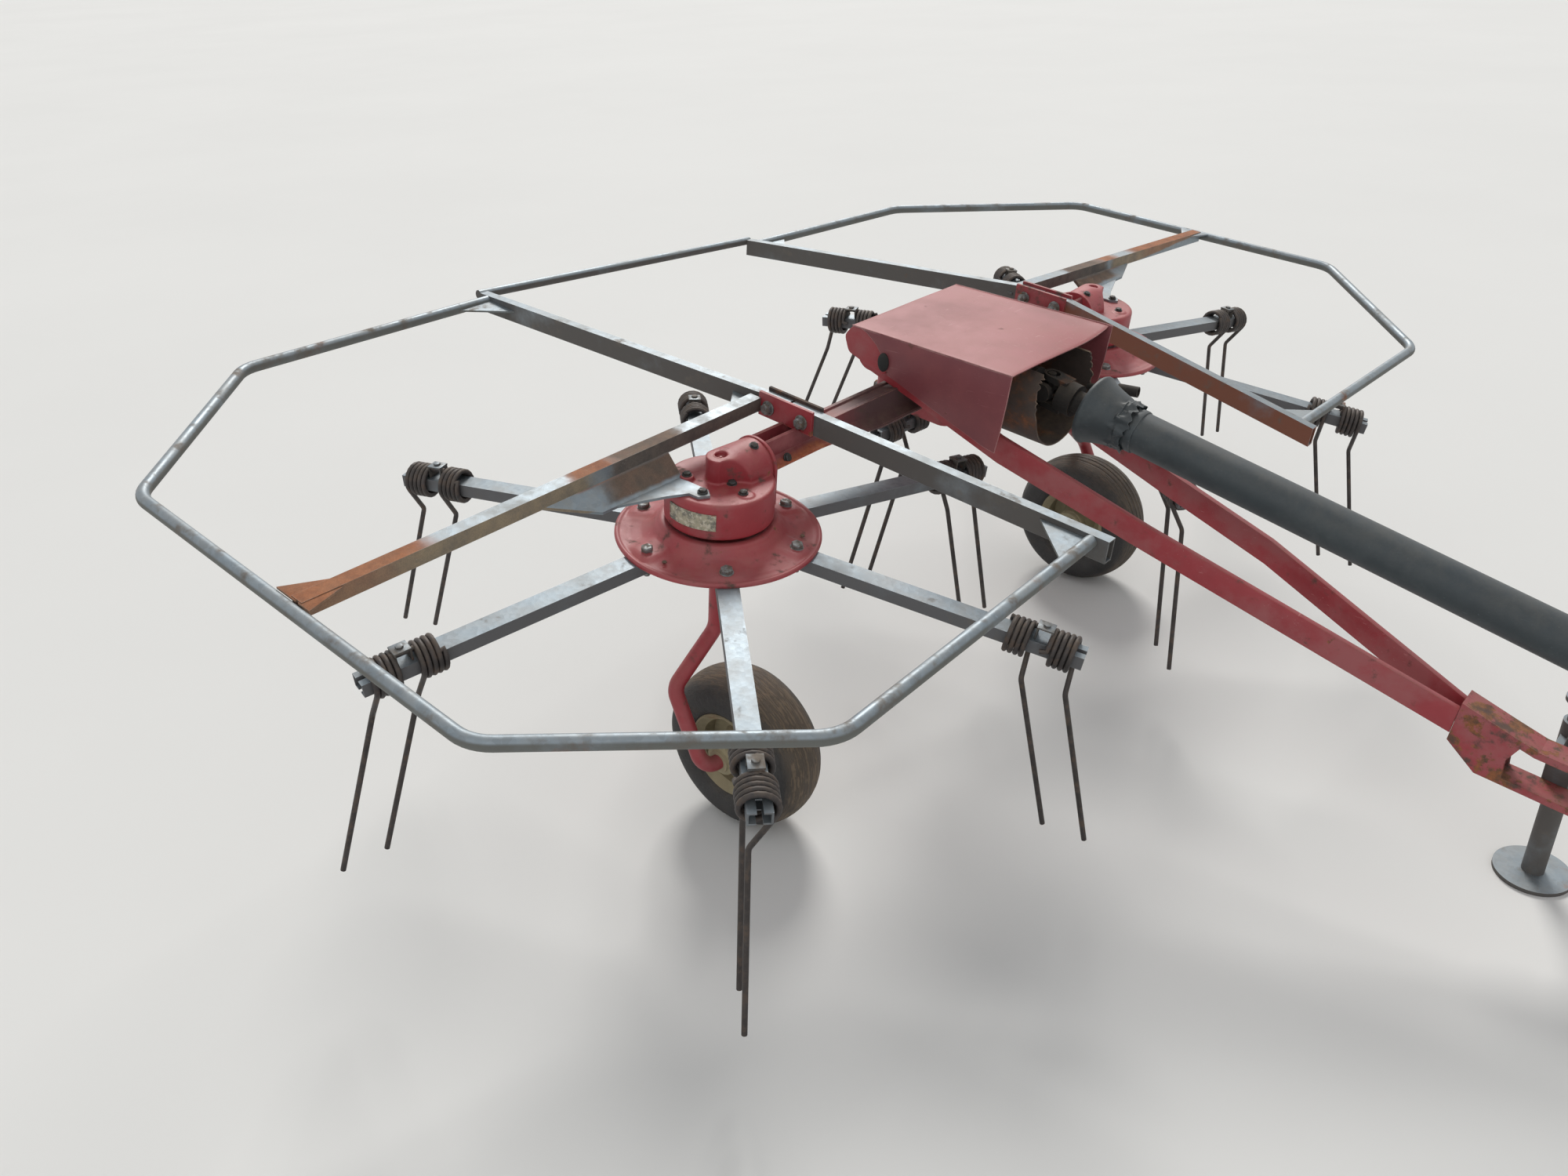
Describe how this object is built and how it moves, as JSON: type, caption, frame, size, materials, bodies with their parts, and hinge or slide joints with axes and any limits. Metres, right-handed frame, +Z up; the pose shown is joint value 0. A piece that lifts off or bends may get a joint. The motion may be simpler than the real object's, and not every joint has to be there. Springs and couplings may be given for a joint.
{
  "type": "two-rotor trailed hay tedder",
  "caption": "Trailed hay tedder with twin spring-tine rotors on a cross beam, tube crop guards, small carrying wheels and a shielded drive shaft.",
  "frame": {"origin": "middle of the footprint box, on the floor", "axes": "+X forward to the hitch, +Y to the machine's left, +Z up; the machine stands nose down on its wheels and parking stand"},
  "size_m": [2.4342, 2.8214, 0.8646],
  "materials": {
    "red_paint": "faded and rust-stained satin",
    "galvanised": "weathered, stained brown",
    "spring_steel": "dark, browned",
    "tyre_rubber": "dusty, worn",
    "rusted_steel": "rusted",
    "bare_steel": "greasy, worn",
    "guard_plastic": "dull, greyed"
  },
  "bodies": {
    "frame": {"gearbox": "red_paint", "beam_right": "red_paint", "beam_left": "red_paint", "head_right": "red_paint", "head_left": "red_paint", "bracket_right": "red_paint", "bracket_left": "red_paint", "rail_rear_right": "galvanised", "rail_rear_left": "galvanised", "rail_front_right": "galvanised", "rail_front_left": "galvanised", "hoop_right": "galvanised", "hoop_left": "galvanised", "outrigger_right": "galvanised", "outrigger_left": "galvanised", "tie_tube": "galvanised", "drawbar_right": "red_paint", "drawbar_left": "red_paint", "hitch": "red_paint", "stand_sleeve": "red_paint", "hood_top": "red_paint", "hood_right": "red_paint", "hood_left": "red_paint", "joint_shield": "rusted_steel", "guard_cone_rear": "guard_plastic", "guard_tube": "guard_plastic", "guard_cone_front": "guard_plastic", "shaft_cradle": "galvanised", "wheel_leg_right": "red_paint", "wheel_leg_left": "red_paint"},
    "rotor_right": {"disc_right": "red_paint", "arms_right": "galvanised", "tines_right": "spring_steel"},
    "rotor_left": {"disc_left": "red_paint", "arms_left": "galvanised", "tines_left": "spring_steel"},
    "wheel_right": {"tyre_right": "tyre_rubber", "rim_right": "rusted_steel"},
    "wheel_left": {"tyre_left": "tyre_rubber", "rim_left": "rusted_steel"},
    "stand": {"stand": "galvanised"},
    "input_yoke": {"input_yoke": "bare_steel"},
    "drive_shaft": {"drive_shaft": "bare_steel", "front_yoke": "bare_steel"}
  },
  "joints": [
    {"name": "rotor_right_spin", "type": "hinge", "parent": "frame", "child": "rotor_right", "pos_m": [-0.28493, -0.64, 0.61915], "axis": [0.1219, 0, 0.9925], "continuous": true},
    {"name": "rotor_left_spin", "type": "hinge", "parent": "frame", "child": "rotor_left", "pos_m": [-0.28493, 0.64, 0.61915], "axis": [0.1219, 0, 0.9925], "continuous": true},
    {"name": "wheel_right_roll", "type": "hinge", "parent": "frame", "child": "wheel_right", "pos_m": [-0.25404, -0.64, 0.165], "axis": [0, 1, 0], "continuous": true},
    {"name": "wheel_left_roll", "type": "hinge", "parent": "frame", "child": "wheel_left", "pos_m": [-0.25404, 0.64, 0.165], "axis": [0, 1, 0], "continuous": true},
    {"name": "stand_lift", "type": "slide", "parent": "frame", "child": "stand", "axis": [0, 0, 1], "range_m": [0, 0.22]},
    {"name": "input_spin", "type": "hinge", "parent": "frame", "child": "input_yoke", "pos_m": [-0.00465, 0, 0.75198], "axis": [0.9925, 0, -0.1219], "continuous": true},
    {"name": "shaft_spin", "type": "hinge", "parent": "frame", "child": "drive_shaft", "pos_m": [-0.00465, 0, 0.75198], "axis": [0.9736, 0, -0.2284], "continuous": true}
  ],
  "couplings": [
    {"joint": "rotor_left_spin", "follows": "rotor_right_spin", "ratio": -1},
    {"joint": "input_spin", "follows": "rotor_right_spin", "ratio": 3.5},
    {"joint": "shaft_spin", "follows": "rotor_right_spin", "ratio": 3.5}
  ]
}
